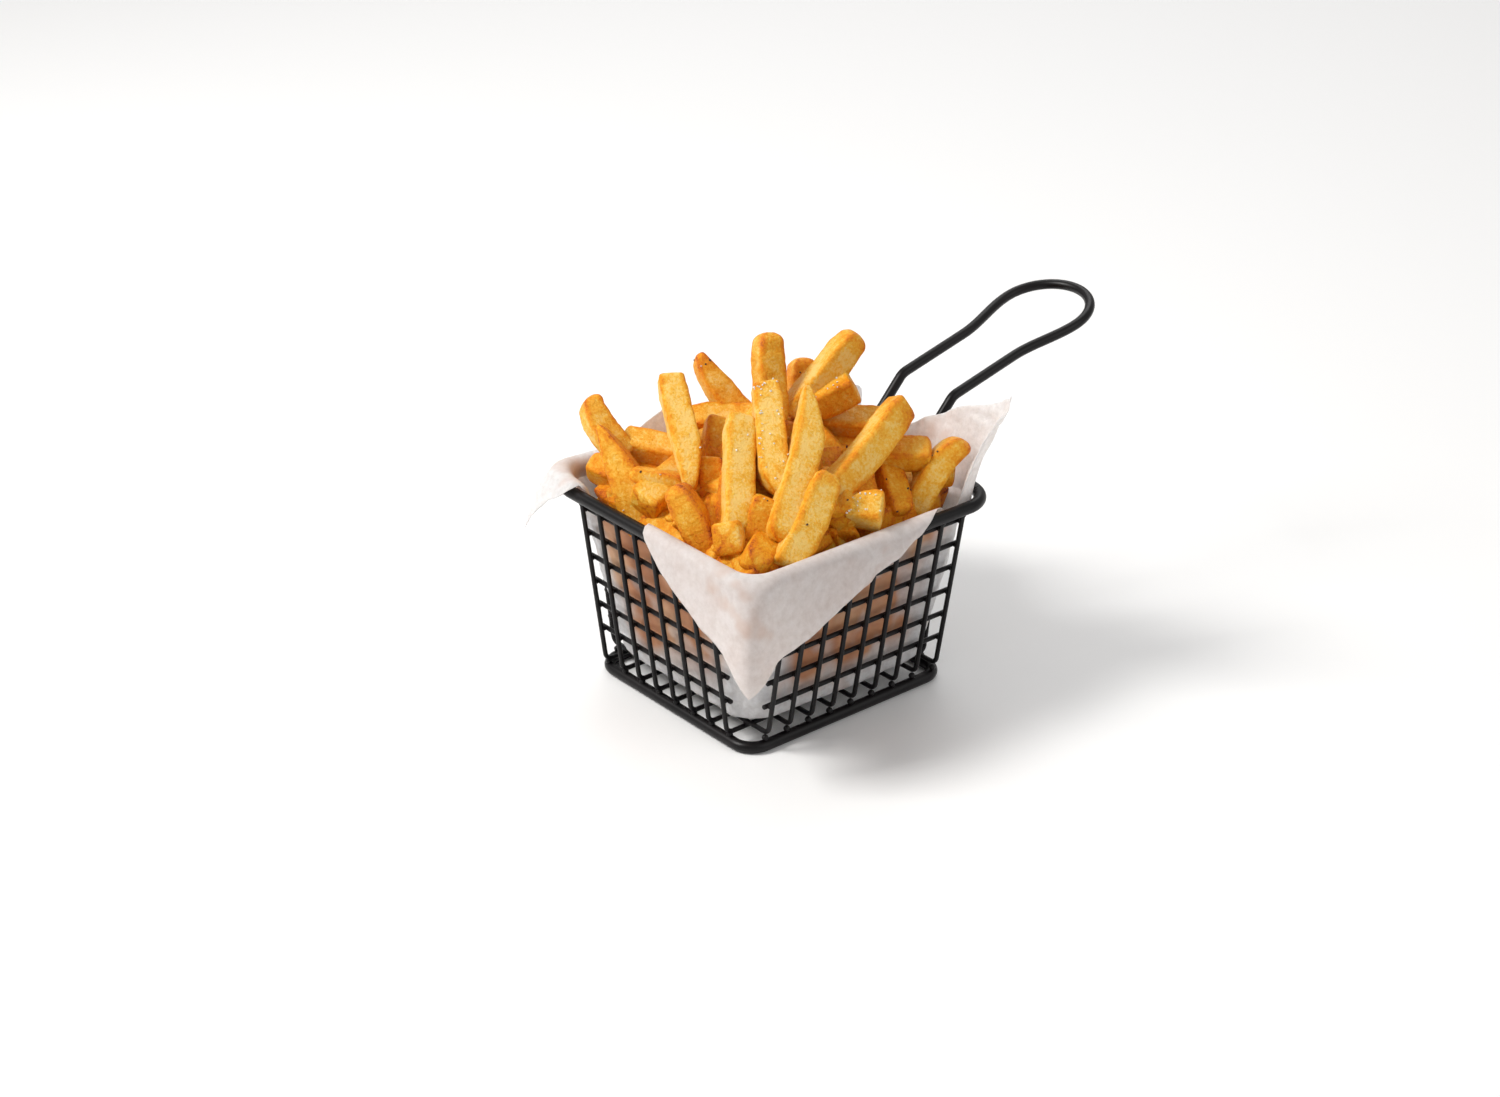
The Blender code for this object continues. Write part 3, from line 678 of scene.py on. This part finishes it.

# The fries press on the lower walls, most in the middle of the front and right ones. The hanging front
# flap gets the grease tint all over as painted shade, and elsewhere grease lies in spots.
pressed = smooth(0.02, 0.3, wall_level) * (1 - smooth(0.86, 1.0, wall_level))
patchy = smooth(-0.45, 0.35, wander(paper_grid, 42.0, 31, 3))
on_front = (outwards[:, 1] < -0.9) & (cores[:, 1] < -0.99)
on_right = (outwards[:, 0] > 0.9) & (cores[:, 0] > 0.99)
strength = np.where(on_front, 1.8, np.where(on_right, 1.3, 0.7))
strength = strength * smooth(0.0, 0.45, 1 - np.abs(cores).min(1))
show = np.clip(pressed[:, None] * (0.35 + 0.8 * patchy) * strength[None], 0, 0.95)
# painted shade: the hanging front flap darkened all over
hanging_flap_shade = smooth(1.05, 1.3, wall_level)[:, None] * (cores @ (1, -1) > 0.3)
spots = smooth(0.35, 0.80, wander(paper_grid, 26.0, 8, 3))
# grease spots, plus the painted shade of the hanging flap
grease_and_shade = 0.46 * hanging_flap_shade + 0.54 * spots
index = np.arange(paper_grid.shape[0] * columns).reshape(-1, columns)
quads = bands(index[:-1], index[1:])[:, ::-1]
paper = mesh_piece("paper_liner_sheet", at(flat_points), [quads, index[:1]], paper_finish(),
                   (("show_through", show.ravel()), ("grease_and_shade", grease_and_shade.ravel())))
body = paper.modifiers.new("thickness", "SOLIDIFY")
body.thickness, body.offset = SHEET_THICK, 0.0
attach(paper, "root")
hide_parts("paper_liner")

# --- Fries --------------------------------------------------------------------------------------------
# Thick cut potato, fried twice: pale gold faces, edges and ends that browned first, one side of each
# painted darker as shade, away from the key light. They are piled loose on the paper and hold each other up.

FRY_EDGE = 7.0                             # the superellipse's exponent: higher squares the edges
SLIM, FLAT = 0.87, 0.92                    # a cooked fry's width to its cut, and its thickness to its width
FINE, PLAIN = (34, 36), (18, 24)           # points along and round a fry, for the upper and lower ones


def fry_frame(start, end, roll):
    """Axis, and the two directions across it: the second one faces the camera before the roll."""
    axis = (end - start) / np.linalg.norm(end - start)
    right = np.cross(toward_camera, axis)
    right *= np.sign(right @ camera_right or 1.0) / np.linalg.norm(right)
    front = np.cross(axis, right)
    front *= np.sign(front @ toward_camera)
    turn = math.radians(roll)
    across, over = math.cos(turn), math.sin(turn)
    return axis, across * right + over * front, across * front - over * right


END_STYLES = {
    # cap over width, exponent of its rounding, length of the taper over width, width left, slant
    "blunt": (0.20, 3.0, 0.7, 0.86, 0.16),
    "round": (0.34, 2.3, 0.9, 0.76, 0.05),
    "square": (0.12, 3.4, 0.3, 0.96, 0.05),
    "slant": (0.20, 2.6, 0.8, 0.86, 0.95),
    "point": (0.20, 2.0, 1.9, 0.16, 0.20),
    "wedge": (0.22, 2.3, 1.7, 0.42, 0.40),
}


def fry(start, end, width, roll=0, bow=0, ends=("blunt", "blunt"), lean=1, tone=0.4, brown=(0.3, 0.5),
        seed=0, grid=FINE):
    """A bar: a superellipse (x^n + y^n = 1) carried along a bowed axis. Each end tapers, is cut at a
    slant and closed by a rounded cap, and the skin is made uneven by two sizes of wandering noise. tone is
    the face's browning, brown what each end adds, edges brown more, and one side is painted darker as shade.
    Returns rings of points, outward normals and the browning with painted shade at each point."""
    start, end = np.asarray(start, float), np.asarray(end, float)
    width, (along, around) = width * SLIM, grid
    thick = width * FLAT
    axis, right, front = fry_frame(start, end, roll)
    length = np.linalg.norm(end - start)
    caps = [min(END_STYLES[style][0] * width, length * 0.3) for style in ends]
    ease = 1 - np.cos(np.linspace(0.12, math.pi / 2, 8))
    s = np.concatenate([caps[0] * ease, np.linspace(caps[0], length - caps[1], along)[1:-1],
                        length - caps[1] * ease[::-1]])
    scale, narrow, slide, shear = np.ones_like(s), np.ones_like(s), np.zeros_like(s), np.zeros_like(s)
    for which, style in enumerate(ends):
        _, power, taper, left, slant = END_STYLES[style]
        inward = s if which == 0 else length - s
        t = np.clip(1 - inward / caps[which], 0, 1)
        scale *= (1 - t**power) ** (1 / power)
        reach = min(taper * width, 0.8 * length)
        pinch = np.clip(1 - inward / reach, 0, 1) ** 1.25
        narrow *= 1 - (1 - left) * pinch
        slide += (1 - left) * pinch * 0.5 * width * 0.8 * (lean if which else -lean)
        shear += slant * smooth(0.9 * width, 0, inward) * (1 if which else -1) * lean
    phi = np.linspace(0, 2 * math.pi, around, endpoint=False) + 0.07
    cx = np.sign(np.cos(phi)) * np.abs(np.cos(phi)) ** (2 / FRY_EDGE)
    cy = np.sign(np.sin(phi)) * np.abs(np.sin(phi)) ** (2 / FRY_EDGE)
    x = cx[None] * (width / 2 * scale * narrow)[:, None] + slide[:, None]
    y = cy[None] * (thick / 2 * scale * (0.35 + 0.65 * narrow))[:, None]
    arc = bow * (1 - (2 * s / length - 1) ** 2)
    reach = s[:, None] - shear[:, None] * x
    points = start + reach[..., None] * axis + (x + arc[:, None])[..., None] * right + y[..., None] * front
    normal = grid_normals(points)
    if (normal[len(s) // 2, 0] @ (points[len(s) // 2, 0] - points[len(s) // 2].mean(0))) < 0:
        normal = -normal
    moved = points + seed * 7.3
    lump = wander(moved, 15.0, 3, 2) * 0.20 + wander(moved, 4.6, 4, 2) * 0.14
    points = points + normal * (lump * (0.4 + 0.6 * scale[:, None]))[..., None]
    corner = np.clip((np.abs(cx * cy) - 0.45) / 0.5, 0, 1)[None]
    # painted shade: the side towards the camera's right, away from the key light, browned darker
    painted_shade_side = np.clip(np.cos(phi + math.radians(35)), 0, 1)[None]
    tips = (brown[0] * smooth(1.15 * width, 0, s) + brown[1] * smooth(1.15 * width, 0, length - s))[:, None]
    patch = wander(moved, 11.0, 9, 3)
    browning_and_shade = tone - 0.12 + 0.42 * corner + 0.24 * painted_shade_side + tips * (0.50 + 0.25 * patch) + 0.15 * patch
    return points, normal, np.clip(browning_and_shade, 0, 1.15)


def potato_finish():
    """Fried potato: the browning value, with painted shade in it, runs through pale cream, gold, orange and
    brown; a fine grain of crisp skin shifts it and roughens the surface, and a thin film of oil makes it
    glisten in patches."""
    made, tree, shader = nodes_of("fried_potato")

    def added(first, second):
        total = tree.nodes.new("ShaderNodeMath")
        tree.links.new(first, total.inputs[0])
        tree.links.new(second, total.inputs[1])
        return total.outputs[0]

    # the browning attribute also carries painted shade: one side of each fry, and the heap's dark core
    value = tree.nodes.new("ShaderNodeAttribute")
    value.attribute_name = "browning_and_shade"
    grain, mottle = noise(tree, 1100, 5, 0.7), noise(tree, 230, 4, 0.6)
    total = added(value.outputs["Fac"], stretched(tree, grain, -0.19, 0.19, 0.34, 0.66))
    total = added(total, stretched(tree, mottle, -0.12, 0.12, 0.34, 0.66))
    colour = ramp(tree, total, (
        (0.00, (0.95, 0.62, 0.17)), (0.18, (0.91, 0.49, 0.048)), (0.40, (0.84, 0.335, 0.006)),
        (0.62, (0.76, 0.225, 0.002)), (0.84, (0.52, 0.110, 0.002)), (1.00, (0.22, 0.038, 0.002))))
    tree.links.new(colour, shader.inputs["Base Color"])
    tree.links.new(stretched(tree, mottle, 0.36, 0.62, 0.34, 0.66), shader.inputs["Roughness"])
    roughen(tree, shader, (mottle, 0.6, 0.0010), (grain, 0.9, 0.0007))
    shader.inputs["Specular IOR Level"].default_value = 0.28
    shader.inputs["Subsurface Weight"].default_value = 0.10
    shader.inputs["Subsurface Scale"].default_value = 1.0
    shader.inputs["Subsurface Radius"].default_value = (0.0025, 0.0009, 0.0003)
    return made


# The fries that can be told apart: lower end, upper end, width, and how each one differs.
PLACED = (
    ((-33, -36, 82), (-50, -40, 99), 10.5, dict(roll=-28, bow=-2, ends=("blunt", "round"),
        tone=0.26, brown=(0, .3))),
    ((-14, -43, 61), (-35, -42, 97), 13.8, dict(roll=10, ends=("blunt", "point"), lean=-1,
        tone=0.32, brown=(0, .1))),
    ((-10, -12, 80), (-39, -34, 85), 11.5, dict(roll=-40, tone=0.26, brown=(0, .2))),
    ((5, -36, 84), (-25, -24, 111), 11.0, dict(roll=-10, ends=("wedge", "blunt"), tone=0.12,
        brown=(.4, .45))),
    ((-20, -28, 73), (-47, -43, 75), 11.5, dict(roll=-35, ends=("blunt", "round"), tone=0.36,
        brown=(0, .2))),
    ((-4, -30, 79), (-20, -46, 82), 10.0, dict(roll=20, ends=("blunt", "wedge"), tone=0.20,
        brown=(.3, .3))),
    ((-14, -18, 83), (-11, -47, 75), 13.5, dict(roll=24, ends=("blunt", "square"), tone=0.22,
        brown=(.1, .2))),
    ((19, -42, 65), (5, -47, 88), 11.6, dict(roll=14, bow=1, ends=("blunt", "round"), tone=0.42,
        brown=(.2, .12))),
    ((28, -38, 77), (5, -18, 105), 11.5, dict(roll=-14, ends=("round", "blunt"), tone=0.10,
        brown=(.25, .25))),
    ((-4, 4, 92), (-15, 10, 121), 11.5, dict(roll=-26, ends=("blunt", "round"), tone=0.28, brown=(0, .35))),
    ((29, -23, 87), (3, -5, 112), 11.5, dict(roll=-8, ends=("slant", "blunt"), lean=-1, tone=0.10,
        brown=(.35, .3))),
    ((40, -32, 77), (17, 5, 113), 12.0, dict(roll=-12, bow=2, ends=("round", "point"), lean=-1,
        tone=0.16, brown=(.2, .2))),
    ((46, -33, 70), (37, -8, 93), 12.5, dict(roll=-16, bow=1.5, ends=("blunt", "round"), tone=0.18,
        brown=(0, .3))),
    ((20, -24, 68), (29, -44, 77), 12.5, dict(roll=4, ends=("blunt", "square"), tone=0.28, brown=(0, .1))),
    ((30, -24, 71), (42, -44, 73), 12.5, dict(roll=10, ends=("blunt", "round"), tone=0.42, brown=(0, .12))),
    ((31, -35, 65), (29, -27, 87), 11.5, dict(roll=-8, tone=0.42, brown=(0, .1))),
    ((29, 4, 82), (45, -6, 78), 12.5, dict(roll=30, ends=("blunt", "square"), tone=0.20, brown=(0, .12))),
    ((40, -2, 80), (50, 6, 79), 13.5, dict(roll=-28, ends=("slant", "square"), tone=0.10, brown=(.1, .2))),
    ((36, -6, 84), (30, 32, 104), 12.0, dict(roll=-22, bow=1.5, tone=0.20, brown=(0, .75))),
    ((-5, 12, 93), (3, 35, 120), 11.8, dict(roll=-30, bow=1, ends=("blunt", "round"), tone=0.14,
        brown=(0, .4))),
    ((-8, 22, 86), (-16, 26, 107), 11.5, dict(roll=-20, ends=("blunt", "round"), tone=0.34,
        brown=(0, .25))),
    ((0, 18, 96), (8, 30, 104), 12.5, dict(roll=-35, ends=("blunt", "square"), tone=0.24, brown=(.2, .3))),
    ((-36, -8, 87), (-11, 21, 87), 11.0, dict(roll=-30, tone=0.24, brown=(.2, .2))),
    ((-12, 16, 89), (15, 40, 89), 11.0, dict(roll=-30, tone=0.18, brown=(.2, .2))),
    ((-26, 10, 86), (-43, 4, 107), 10.5, dict(roll=-20, bow=-2, ends=("blunt", "wedge"), lean=-1,
        tone=0.24, brown=(0, .4))),
    ((41, 28, 68), (45, 46, 92), 10.5, dict(roll=-14, bow=-2, ends=("blunt", "round"), tone=0.22,
        brown=(0, .4))),
    ((22, 20, 86), (41, 36, 88), 11.5, dict(roll=-35, tone=0.36, brown=(0, .35))),
    ((34, 34, 78), (44, 44, 80), 10.0, dict(roll=-30, tone=0.36, brown=(0, .3))),
    ((0, -24, 76), (-14, -12, 96), 11.0, dict(roll=-12, tone=0.36, brown=(0, .2))),
    ((6, -30, 74), (-2, -26, 90), 10.5, dict(roll=-12, tone=0.40, brown=(0, .2))),
    ((40, 6, 74), (24, 16, 90), 11.0, dict(roll=-25, tone=0.46, brown=(0, .2))),
    ((44, 20, 71), (28, 26, 84), 10.5, dict(roll=-25, tone=0.44, brown=(0, .2))),
    ((26, -12, 80), (12, -2, 100), 11.0, dict(roll=-12, tone=0.40, brown=(0, .2))),
    ((18, -34, 72), (8, -22, 92), 11.0, dict(roll=0, tone=0.42, brown=(0, .2))),
    ((-19, -18, 84), (-18, 2, 87), 11.0, dict(roll=-30, tone=0.32, brown=(.1, .2))),
    ((-34, 14, 80), (-8, 4, 92), 11.0, dict(roll=-30, tone=0.34, brown=(.1, .2))),
    ((43, -9, 78), (27, 2, 86), 11.0, dict(roll=-20, ends=("square", "blunt"), tone=0.34, brown=(.3, .1))),
)
placed = [fry(low, high, width, seed=i + 1, **looks) for i, (low, high, width, looks) in enumerate(PLACED)]

# The fries under them lie anyhow near the heap's top, and along the walls.
LOOSE, BY_WALL = 74, 24
HEAP_REACH, LEAST_LENGTH = 43.0, 24.0
LOOSE_EDGE, LOOSE_CROWN = 66.0, 89.0       # height of the heap at the walls, and in the middle
CORE_EDGE, CORE_CROWN = 60.0, 80.0         # and of the core under it
# the core's browning is painted shade: near the darkest brown, so the gaps between fries read as shadow
CORE_SETBACK, CORE_INSET, CORE_SHADE = 10.0, 3.5, 0.98
DOME_REACH = 46.0


def heap_top(x, y, edge, crown):
    """Height of the heap: a dome, edge high at the walls, whose fall grows with the third power."""
    far = np.maximum(np.abs(x), np.abs(y)) / DOME_REACH
    return crown - (crown - edge) * (0.55 * far**3 + 0.45 * (x**2 + y**2) / DOME_REACH**2 / 1.6)


rng = np.random.default_rng(40)
loose = []
for number in range(LOOSE):
    middle, heading = rng.uniform(-36, 36, 2), rng.uniform(0, math.pi)
    half = rng.uniform(19, 31) * np.array([math.cos(heading), math.sin(heading)])
    low, high = np.clip((middle - half, middle + half), -HEAP_REACH, HEAP_REACH)
    if np.linalg.norm(high - low) < LEAST_LENGTH:
        continue
    ends_up = [heap_top(*place, LOOSE_EDGE, LOOSE_CROWN) + rng.uniform(-7, 1.5) for place in (low, high)]
    tips = rng.choice(["blunt", "round", "slant", "wedge", "square"], 2)
    loose.append(fry((*low, ends_up[0]), (*high, ends_up[1]), rng.uniform(9.5, 12.5),
                     roll=rng.uniform(-45, 45), bow=rng.uniform(-2, 2), ends=tuple(tips),
                     lean=rng.choice([-1, 1]), tone=rng.uniform(0.22, 0.50),
                     brown=tuple(rng.uniform(0.0, 0.35, 2)), seed=100 + number, grid=PLAIN))

for number in range(BY_WALL):
    side, along, up = number % 4, (-23, 0, 23)[number // 4 % 3], rng.uniform(64, 71)
    half, reach = rng.uniform(15, 20), rng.uniform(38.5, 41.5)
    low, high = np.array([along - half, reach, up]), np.array([along + half, reach, up + rng.uniform(-6, 4)])
    cos, sin = math.cos(math.pi / 2 * side), math.sin(math.pi / 2 * side)
    spin = np.array([(cos, sin, 0), (-sin, cos, 0), (0, 0, 1)])
    loose.append(fry(low @ spin, high @ spin, rng.uniform(10, 12), roll=rng.uniform(-30, 30),
                     ends=("round", "blunt"), tone=rng.uniform(0.3, 0.55), brown=(0.1, 0.2),
                     seed=200 + number, grid=PLAIN))

golden = potato_finish()


def fry_piece(name, fries):
    """One mesh of many fries, with their browning and painted shade on its points."""
    points, faces = joined([(rings, False) for rings, _, _ in fries])
    values = np.concatenate([browning_and_shade.ravel() for _, _, browning_and_shade in fries])
    made = mesh_piece(name, at(points), faces, golden, (("browning_and_shade", values),))
    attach(made, "root")
    return made


fries = fry_piece("placed_fries", placed)
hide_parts("fries")
fry_piece("loose_fries", loose)


def core_points():
    """The inside of the heap as one lump, browned nearly to the darkest brown as painted shade in the gaps
    between the fries: a rounded square that follows the lining at a distance, closed by the heap's dome."""
    base = FLOOR_HALF - CORE_SETBACK
    rows = [loop(base * share, 6 * share, PAPER_UP + 0.6) for share in np.linspace(0.05, 1, 5)]
    for up in np.linspace(PAPER_UP + 3, CORE_EDGE - 4, 10):
        rows.append(loop(wall_half(up) - WALL_INSET - CORE_INSET, 10, up))
    rim = rows[-1][:, :2]
    for share in np.linspace(0.98, 0.03, 16):
        flat = rim * share
        up = heap_top(flat[:, 0], flat[:, 1], CORE_EDGE, CORE_CROWN)
        rows.append(np.concatenate([flat, up[:, None]], 1))
    rows = np.array(rows)
    rows[5:, :, 2] += wander(rows, 14.0, 77, 2)[5:] * 1.2
    return rows


core_grid = core_points()
points, faces = joined([(core_grid, False)])
# painted shade: the whole core at the dark browning, for the shadow deep between the fries
core = mesh_piece("heap_core", at(points), faces, golden, (("browning_and_shade", np.full(len(points), CORE_SHADE)),))
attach(core, "root")

# --- Salt and pepper specks ---------------------------------------------------------------------------
# Coarse salt thrown over the hot fries sticks where they face up; dark specks of skin and pepper too.


EVEN_STEP = 2.0                 # the longest step round a fry between two points of its skin


def scatter(count, seed, favour, least):
    """Random places on the placed fries whose normal has at least the given share of the direction. A
    place is kept as often as the skin's step there is long, which spreads them evenly over the faces."""
    rng = np.random.default_rng(seed)
    places, normals = [], []
    while len(places) < count:
        rings, normal, _ = placed[rng.choice(len(placed), p=favour)]
        i, j, share = rng.integers(2, rings.shape[0] - 2), rng.integers(1, rings.shape[1]), rng.random(2)
        step, ahead = rings[i, j] - rings[i, j - 1], rings[i + 1, j] - rings[i, j]
        if np.linalg.norm(step) < rng.random() * EVEN_STEP:
            continue
        if normal[i, j] @ (0.6 * toward_camera + np.array([0, 0, 0.6])) > least:
            places.append(rings[i, j] - step * share[0] + ahead * share[1])
            normals.append(normal[i, j])
    return np.array(places), np.array(normals), rng


def cubes(places, normals, sizes, sink, rng):
    """Small boxes turned at random, their corners pulled in unevenly, sunk a little into the surface."""
    corners = np.array([(x, y, z) for z in (-1, 1) for y in (-1, 1) for x in (-1, 1)], float)
    faces = np.array([(0, 2, 3, 1), (4, 5, 7, 6), (0, 1, 5, 4), (2, 6, 7, 3), (0, 4, 6, 2), (1, 3, 7, 5)])
    points = []
    for place, normal, size in zip(places, normals, sizes):
        basis, _ = np.linalg.qr(rng.normal(size=(3, 3)))
        basis *= np.sign(np.linalg.det(basis))
        shape = corners * rng.uniform(0.75, 1.0, (8, 1)) * size
        points.append(place + normal * size.max() * (1 - sink) + shape @ basis.T)
    index = np.arange(len(places))[:, None, None] * 8 + faces
    return np.concatenate(points), [index.reshape(-1, 4)]


SALT, SPECKS = 90, 34
salt_favour = np.full(len(placed), 0.08)
salt_favour[[3, 8, 10, 11, 17, 21]] = (0.6, 1, 12, 0.6, 7, 4)
places, normals, rng = scatter(SALT, 12, salt_favour / salt_favour.sum(), 0.55)
points, faces = cubes(places, normals, rng.uniform(0.12, 0.36, (SALT, 3)), 0.45, rng)


def mottled(name, scale, first, last, roughness):
    """A plain finish whose colour wanders between two."""
    made, tree, shader = nodes_of(name)
    tint = ramp(tree, noise(tree, scale), ((0.0, first), (1.0, last)))
    tree.links.new(tint, shader.inputs["Base Color"])
    shader.inputs["Roughness"].default_value = roughness
    return made


salt_finish = mottled("salt", 900, (0.76, 0.70, 0.56), (0.92, 0.90, 0.84), 0.25)
salt = mesh_piece("salt_crystals", at(points), faces, salt_finish, smooth=False)
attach(salt, "root")

speck_favour = np.full(len(placed), 0.2)
speck_favour[[7, 12, 16, 17, 24, 25, 30, 31]] = (3, 6, 3, 2, 1, 2, 3, 3)
places, normals, rng = scatter(SPECKS, 5, speck_favour / speck_favour.sum(), 0.3)
points, faces = blobs(places, rng.uniform(0.20, 0.55, (SPECKS, 3)))
speck_finish = mottled("dark_specks", 700, (0.030, 0.012, 0.006), (0.12, 0.05, 0.02), 0.6)
specks = mesh_piece("dark_specks", at(points), faces, speck_finish)
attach(specks, "root")
